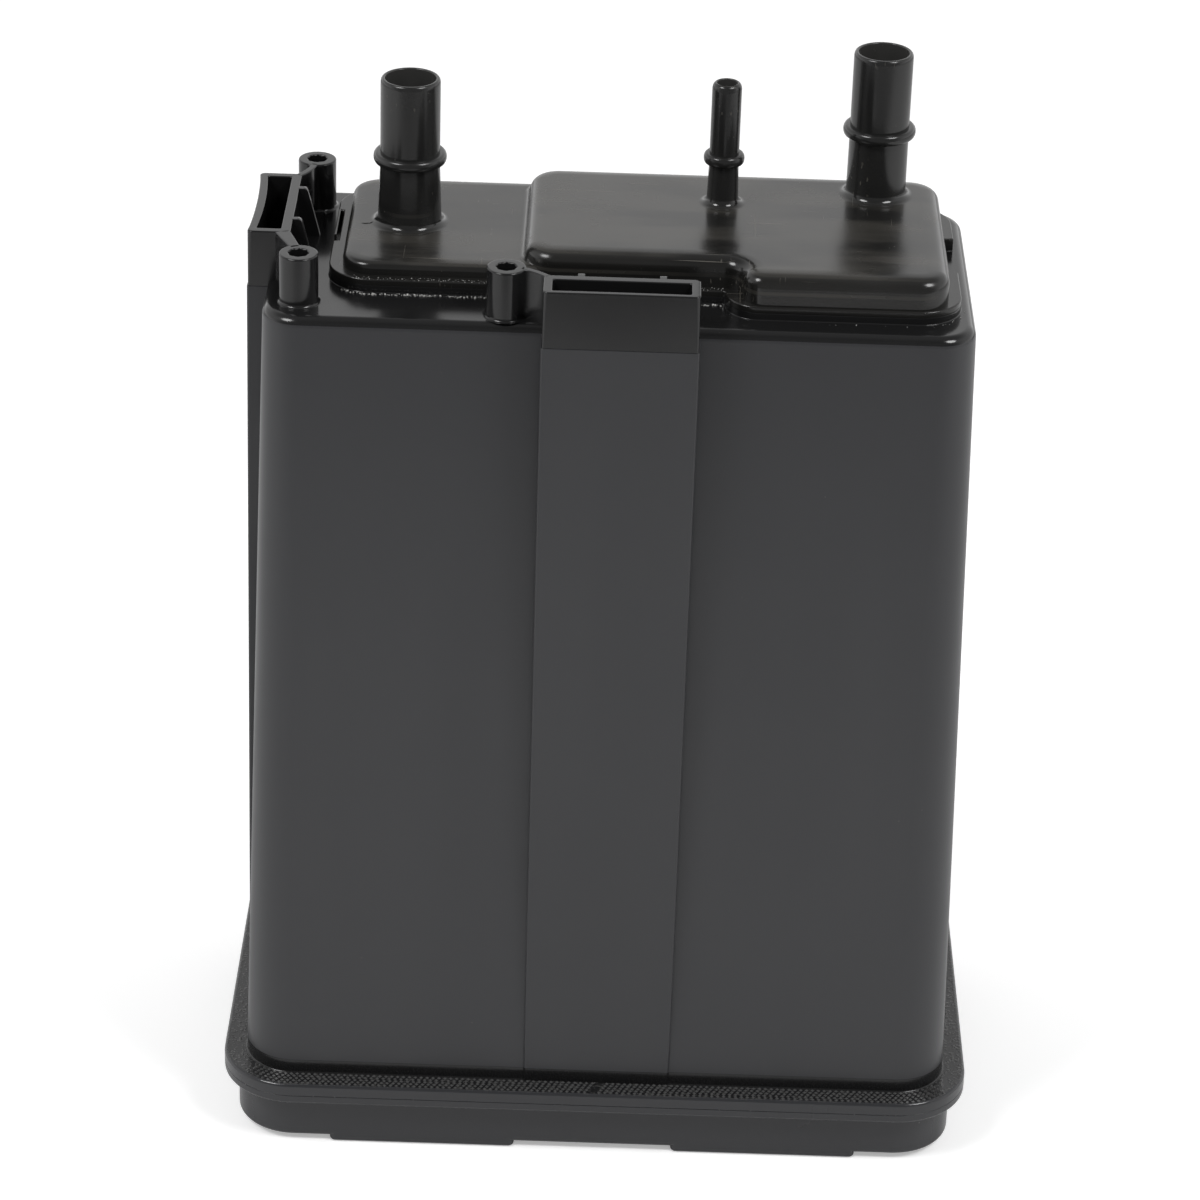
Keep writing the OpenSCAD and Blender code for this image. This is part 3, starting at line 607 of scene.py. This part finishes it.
def housing():
    """Tapered walls, weld flange, strips with pockets, bosses with webs, and the seat of the lid."""
    shape = Shape("housing")
    rings = [lift(wall_outline(FOOT_Z, -o), FOOT_Z + d) for o, d in hollow(0.5, 4)]
    rings += [lift(wall_outline(DECK_Z - RIM_R, i), DECK_Z - d) for i, d in edge(RIM_R)]
    shape.loft(rings)
    rings = [lift(flange_outline(i), WELD_Z + d) for i, d in edge(0.2, 3)[::-1]]
    rings += [lift(flange_outline(i), FOOT_Z - d) for i, d in edge(1.0)]
    shape.loft(rings)
    pocket_strip(shape, on_front, **FRONT_STRIP)
    pocket_strip(shape, on_side, **SIDE_STRIP)
    mouth_r = 0.35
    boss = [(BOSS_R + o, DECK_Z + d) for o, d in hollow(BOSS_FILLET, 5)]
    boss += [(BOSS_R - i, POST_Z - d) for i, d in edge(0.45, 4)]
    boss += [(HOLE_R + o, POST_Z - d, LOBE * (1 - o / mouth_r)) for o, d in hollow(mouth_r, 4)]
    boss += [(HOLE_R, POST_Z - HOLE_DEPTH, LOBE)]
    for centre in BOSSES:
        shape.lathe(centre, boss, 56)
    for web in WEBS:
        curved_web(shape, *web)
    rings = [lift(lid_outline(-o), DECK_Z + d) for o, d in hollow(0.25, 3)]
    rings += [lift(lid_outline(i), LID_Z - d) for i, d in edge(0.15, 2)]
    shape.loft(rings)
    return shape.piece(HOUSING)


def dome_seam(shape):
    """The fillet between the side of the main dome and the top of the vent dome."""
    path = [Vector(p) for p in main_outline(0.0)[TURN + 8:3 * TURN - 10]]
    last = len(path) - 1
    rings = []
    for i, p in enumerate(path):
        run = path[min(i + 1, last)] - path[max(i - 1, 0)]
        out = Vector((run.y, -run.x)).normalized()
        size = min(1.0, 0.1 + 0.3 * i, 0.1 + 0.3 * (last - i))
        curve = [(*(p + out * o * size), VENT_TOP - 0.02 + d * size) for o, d in hollow(SEAM_R, 6)]
        rings.append([curve[0], (*(p - out * 0.4), VENT_TOP - 0.5)] + curve[:0:-1])
    shape.loft(rings)


def lid():
    """The lid's flange, its two domes and the thin wall outside the left notch."""
    shape = Shape("lid")
    rings = [lift(lid_outline(i), LID_Z + d) for i, d in edge(0.15, 2)[::-1]]
    rings += [lift(lid_outline(i), LID_TOP - d) for i, d in edge(0.4, 5)]
    shape.loft(rings)
    for outline, top, r in ((main_outline, MAIN_TOP, MAIN_EDGE), (vent_outline, VENT_TOP, VENT_EDGE)):
        rings = [lift(outline(0.0), LID_TOP - 0.2)]
        rings += [lift(outline(i), top - d) for i, d in dome_edge(r)]
        shape.loft(rings)
    dome_seam(shape)
    low, high, thick = NOTCH_WALL
    x, y, z = DOME[0] - LIP + thick / 2, (low + high) / 2, (DECK_Z + LID_TOP) / 2
    span, rise = (high - low) / 2, (LID_TOP - DECK_Z) / 2
    wall = [(-span, -rise), (span, -rise), (span, rise), (-span, rise)]
    shape.plate(wall, thick, 0.12, lambda a, b, t: (x + t, y + a, z + b))
    shape.thread(lift(HAIR, VENT_TOP + 0.04), HAIR_R)
    return shape.piece(LID)


def tube(name, centre, base, foot_r, height, tube_r, bead_r, bead_drop, tip_h, bore_r):
    """A tube with its foot rounding, stop bead, rounded tip and bore."""
    top = base + height
    profile = [(foot_r + TUBE_FILLET, base - 1.0)]
    profile += [(foot_r + o, base + d) for o, d in hollow(TUBE_FILLET, 9)]
    for i in range(33):
        a = math.pi * (i / 32 - 0.5)
        reach = max(math.cos(a), 0.0) ** 0.5
        profile.append((tube_r + (bead_r - tube_r) * reach, top - bead_drop + BEAD_HALF * math.sin(a)))
    profile += [(tube_r - i / 2, top - d) for i, d in edge(tip_h)]
    profile += [(bore_r + o, top - d) for o, d in hollow(0.3, 4)]
    profile += [(bore_r, base - 2.2), (bore_r * 0.5, base - 2.3)]
    shape = Shape(name)
    shape.lathe(centre, profile)
    tone = (0.013, 0.013, 0.0128)
    return shape.piece(lid_paint(name + "_plastic", 0.17, 0.25, tone, 0.12, 0.09, (*centre, bore_r)))


def bottom():
    """The tub under the weld flange, its own flange and the two rails that it stands on."""
    shape = Shape("base")
    rings = [lift(flange_outline(TUB_INSET + i), TUB_Z + d) for i, d in edge(TUB_EDGE)[::-1]]
    rings += [lift(flange_outline(TUB_INSET - o), COVER_Z - d + 0.3) for o, d in hollow(0.6, 4)[::-1]]
    shape.loft(rings)
    rings = [lift(flange_outline(i), COVER_Z + d) for i, d in edge(0.9)[::-1]]
    rings += [lift(flange_outline(i), WELD_Z - d) for i, d in edge(0.2, 3)]
    shape.loft(rings)
    sunk = TUB_Z + TUB_EDGE
    for x in (-RAIL[1] / 2, RAIL[1] / 2):
        rings = [lift(rail_outline(x, i), d) for i, d in edge(0.7, 4)[::-1]]
        rings += [lift(rail_outline(x, i), sunk) for i in (0.0, 1.0)]
        shape.loft(rings)
    return shape.piece(HOUSING)


def node_tree(name, inputs):
    """An empty geometry tree with named inputs, its start, and the functions that add a node and close it."""
    tree = bpy.data.node_groups.new(name, "GeometryNodeTree")
    tree.interface.new_socket("Lines", in_out="INPUT", socket_type="NodeSocketGeometry")
    for key, kind in inputs:
        tree.interface.new_socket(key, in_out="INPUT", socket_type=kind)
    tree.interface.new_socket("Pieces", in_out="OUTPUT", socket_type="NodeSocketGeometry")
    start = tree.nodes.new("NodeGroupInput").outputs
    end = tree.nodes.new("NodeGroupOutput").inputs

    def add(kind, settings=(), links=(), values=()):
        made = tree.nodes.new(kind)
        for key, value in dict(settings).items():
            setattr(made, key, value)
        for key, socket in dict(links).items():
            tree.links.new(socket, made.inputs[key])
        for key, value in dict(values).items():
            made.inputs[key].default_value = value
        return made.outputs

    def close(instances):
        real = add("GeometryNodeRealizeInstances", links={"Geometry": instances})
        done = add("GeometryNodeSetMaterial", links={"Geometry": real[0], "Material": start["Material"]})
        tree.links.new(done[0], end["Pieces"])

    return tree, start, add, close


def spaced_points(start, add):
    """Points at the pitch along the tree's lines."""
    curve = add("GeometryNodeMeshToCurve", links={"Mesh": start["Lines"]})
    links = {"Curve": curve[0], "Length": start["Pitch"]}
    return add("GeometryNodeResampleCurve", {"mode": "LENGTH"}, links)[0]


def stud_tree():
    """Rows of small pyramids along lines."""
    size = "NodeSocketFloat"
    inputs = (("Pitch", size), ("Width", size), ("Height", size), ("Material", "NodeSocketMaterial"))
    tree, start, add, close = node_tree("stud_rows", inputs)
    spaced = spaced_points(start, add)
    stud = add(
        "GeometryNodeMeshCone",
        links={"Radius Bottom": start["Width"], "Depth": start["Height"]},
        values={"Vertices": 4, "Radius Top": 0.12 * MM},
    )
    tangent = add("GeometryNodeInputTangent")
    turn = add("FunctionNodeAlignRotationToVector", {"axis": "X"}, {"Vector": tangent[0]})
    links = {"Points": spaced, "Instance": stud[0], "Rotation": turn[0]}
    close(add("GeometryNodeInstanceOnPoints", links=links)[0])
    return tree


def crumb_tree():
    """Torn crumbs scattered along lines."""
    size = "NodeSocketFloat"
    inputs = (
        ("Pitch", size),
        ("Spread", "NodeSocketVector"),
        ("Small", size),
        ("Large", size),
        ("Share", size),
        ("Seed", "NodeSocketInt"),
        ("Material", "NodeSocketMaterial"),
    )
    tree, start, add, close = node_tree("crumb_lines", inputs)
    spaced = spaced_points(start, add)

    # Outputs of a random value: 0 is a vector, 1 a number and 3 a yes or no
    def random(kind, links, values=()):
        links = {**links, "Seed": start["Seed"]}
        return add("FunctionNodeRandomValue", {"data_type": kind}, links, values)

    below = add("ShaderNodeVectorMath", {"operation": "SCALE"}, {0: start["Spread"]}, {"Scale": -1.0})
    drift = random("FLOAT_VECTOR", {0: below[0], 1: start["Spread"]})
    moved = add("GeometryNodeSetPosition", links={"Geometry": spaced, "Offset": drift[0]})
    keep = random("BOOLEAN", {"Probability": start["Share"]})
    grow = random("FLOAT", {2: start["Small"], 3: start["Large"]})
    turn = random("FLOAT_VECTOR", {}, {1: (6.28, 6.28, 6.28)})
    crumb = add("GeometryNodeMeshIcoSphere", values={"Radius": 1.0, "Subdivisions": 1})
    links = {
        "Points": moved[0],
        "Instance": crumb[0],
        "Selection": keep[3],
        "Scale": grow[1],
        "Rotation": turn[0],
    }
    close(add("GeometryNodeInstanceOnPoints", links=links)[0])
    return tree


def grown(name, lines, tree, values):
    """The piece that a geometry tree makes along lines given in millimetres."""
    data = bpy.data.meshes.new(name)
    points = [[c * MM for c in p] for line in lines for p in line]
    edges, first = [], 0
    for line in lines:
        edges += [(first + i, first + i + 1) for i in range(len(line) - 1)]
        first += len(line)
    data.from_pydata(points, edges, [])
    made = bpy.data.objects.new(name, data)
    bpy.context.scene.collection.objects.link(made)
    grow = made.modifiers.new("grow", "NODES")
    grow.node_group = tree
    for item in tree.interface.items_tree:
        if item.item_type == "SOCKET" and item.in_out == "INPUT" and item.name in values:
            grow[item.identifier] = values[item.name]
    applied(made)
    return made


def knurl():
    """Rows of studs along the front of the housing flange, each with a gap near the middle."""
    rows, first_inset, row_gap, row_lean = 5, 5.75, 1.1, 0.53
    gap_left, gap_right = -0.4, 3.6
    half_turn = 11
    lines = []
    for k in range(rows):
        inset = first_inset - row_gap * k
        lean = -row_lean * k
        front = inset - FLANGE[1]
        corners = flange_outline(inset)
        left = corners[2 * TURN + half_turn:3 * TURN] + [(gap_left + lean, front)]
        right = [(gap_right + lean, front)] + corners[3 * TURN:3 * TURN + half_turn]
        lines += [lift(row, FOOT_Z - 0.02) for row in (left, right)]
    values = {"Pitch": 1.63 * MM, "Width": 0.58 * MM, "Height": 0.4 * MM, "Material": KNURL}
    return grown("knurl", lines, stud_tree(), values)


def flash():
    """Torn weld flash on the deck round the lid, on the lid flange and along the seam of the bottom cover."""
    tree = crumb_tree()
    deck = dome_outline(DOME[0], -LIP - 1.3)
    brim = dome_outline(DOME[0], -LIP + 0.9)
    rim = dome_outline(DOME[0], -LIP + 0.1)
    front = lift(deck[2 * TURN + 12:3 * TURN + 1], DECK_Z + 0.1)
    rest = lift(deck[3 * TURN:], DECK_Z + 0.05)
    brim_line = lift(brim[2 * TURN + 14:3 * TURN + 1], LID_TOP - 0.05)
    rim_line = lift(rim[5 * TURN:5 * TURN + 12], LID_TOP - 0.25)
    weld = lift(flange_outline(0.2)[2 * TURN:4 * TURN], WELD_Z)
    wide, broad, thin = (0.3, 0.35, 0.1), (0.3, 0.85, 0.1), (0.2, 0.12, 0.12)
    # Name, line, spread either way, smallest and largest crumb, share kept and seed
    crumbs = (
        ("flash_front", front, wide, 0.07, 0.42, 0.75, 3),
        ("flash_rest", rest, wide, 0.05, 0.2, 0.08, 5),
        ("flash_brim", brim_line, broad, 0.07, 0.18, 1.0, 11),
        ("flash_edge", rim_line, thin, 0.05, 0.14, 0.2, 7),
        ("flash_weld", weld, thin, 0.04, 0.11, 0.12, 9),
    )
    made = []
    for name, line, spread, small, large, share, seed in crumbs:
        values = {
            "Pitch": 0.25 * MM,
            "Spread": Vector(spread) * MM,
            "Small": small * MM,
            "Large": large * MM,
            "Share": share,
            "Seed": seed,
            "Material": FLASH,
        }
        made.append(grown(name, [line], tree, values))
    return made


PIECES = [
    (housing(), "canister_body", "housing_plastic"),
    (lid(), "top_cover", "lid_plastic"),
    (tube("vent", **VENT_TUBE, **LARGE_END), "vent_tube", "lid_plastic"),
    (tube("tank", **TANK_TUBE, **LARGE_END), "tank_tube", "lid_plastic"),
    (tube("purge", **PURGE_TUBE, **SMALL_END), "purge_tube", "lid_plastic"),
    (bottom(), "bottom_cover", "housing_plastic"),
    (knurl(), None, "housing_plastic"),
]
PIECES += [(made, None, "lid_plastic") for made in flash()]
for made, node, slot in PIECES:
    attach(made, "root")
    if node:
        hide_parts(node)

for part in frame["record"]["subparts"]:
    if part["material_slot"] in INNER:
        mesh = frame["nodes"][part["node"]].data
        mesh.materials.clear()
        mesh.materials.append(INNER[part["material_slot"]])


def softbox(name, place, target, size, power):
    """A round light that faces a point."""
    data = bpy.data.lights.new(name, "AREA")
    data.shape = "DISK"
    data.size = size
    data.energy = power
    lamp = bpy.data.objects.new(name, data)
    bpy.context.scene.collection.objects.link(lamp)
    lamp.location = place
    lamp.rotation_mode = "QUATERNION"
    lamp.rotation_quaternion = (Vector(target) - Vector(place)).to_track_quat("-Z", "Y")


def studio():
    """A white table in a room that is white behind and beside it, and dim above and towards the viewer."""
    scene = bpy.context.scene
    scene.view_settings.view_transform = "Standard"
    world = bpy.data.worlds.new("room")
    scene.world = world
    world.use_nodes = True
    room = ShaderTree(world.node_tree)
    way = room.node("ShaderNodeTexCoord", output="Generated")
    ahead, rise = room.axis(way, "Y"), room.axis(way, "Z")
    level = ahead.between(-0.75, 0.0, 0.2, 0.95)
    level *= rise.between(0.05, 0.35, 1.4, 1.0)
    level *= rise.between(0.5, 0.9, 1.0, 0.3)
    level += (1.0 - level) * room.node("ShaderNodeLightPath", output="Is Camera Ray")
    sky = world.node_tree.nodes["Background"]
    world.node_tree.links.new(level.socket, sky.inputs["Color"])
    reach, near = 6, -0.62
    data = bpy.data.meshes.new("table")
    corners = [(-reach, near, 0), (reach, near, 0), (reach, reach, 0), (-reach, reach, 0)]
    data.from_pydata(corners, [], [(0, 1, 2, 3)])
    table = bpy.data.objects.new("table", data)
    scene.collection.objects.link(table)
    table.location.z = -0.2 * MM
    white = Paint("table", Base_Color=(0.92, 0.92, 0.92, 1), Roughness=0.8, Emission_Strength=0.36)
    seen = white.node("ShaderNodeLightPath", output="Is Camera Ray")
    data.materials.append(white.feed(Emission_Color=seen))
    for side in (-1, 1):
        softbox("front", (0.85 * side, near, 1.4), (0, 0, 0.2), 0.62, 11)


def camera():
    """The camera of the photograph, solved from the edges of the part."""
    target = Vector((-2.75, 23.3, 133.6)) * MM
    distance = 1197.54 * MM
    rise, around, roll = (math.radians(v) for v in (27.904, 0.105, 1.836))
    back = Vector((math.sin(around) * math.cos(rise), -math.cos(around) * math.cos(rise), math.sin(rise)))
    right = (-back).cross(Vector((0, 0, 1))).normalized()
    up = right.cross(-back)
    data = bpy.data.cameras.new("camera")
    data.lens = 126.864
    data.sensor_width = 36
    data.clip_start, data.clip_end = 0.05, 50
    made = bpy.data.objects.new("camera", data)
    bpy.context.scene.collection.objects.link(made)
    turn = Matrix((right, up, back)).transposed().to_4x4()
    made.matrix_world = Matrix.Translation(target + back * distance) @ turn @ Matrix.Rotation(roll, 4, "Z")
    bpy.context.scene.camera = made


studio()
camera()
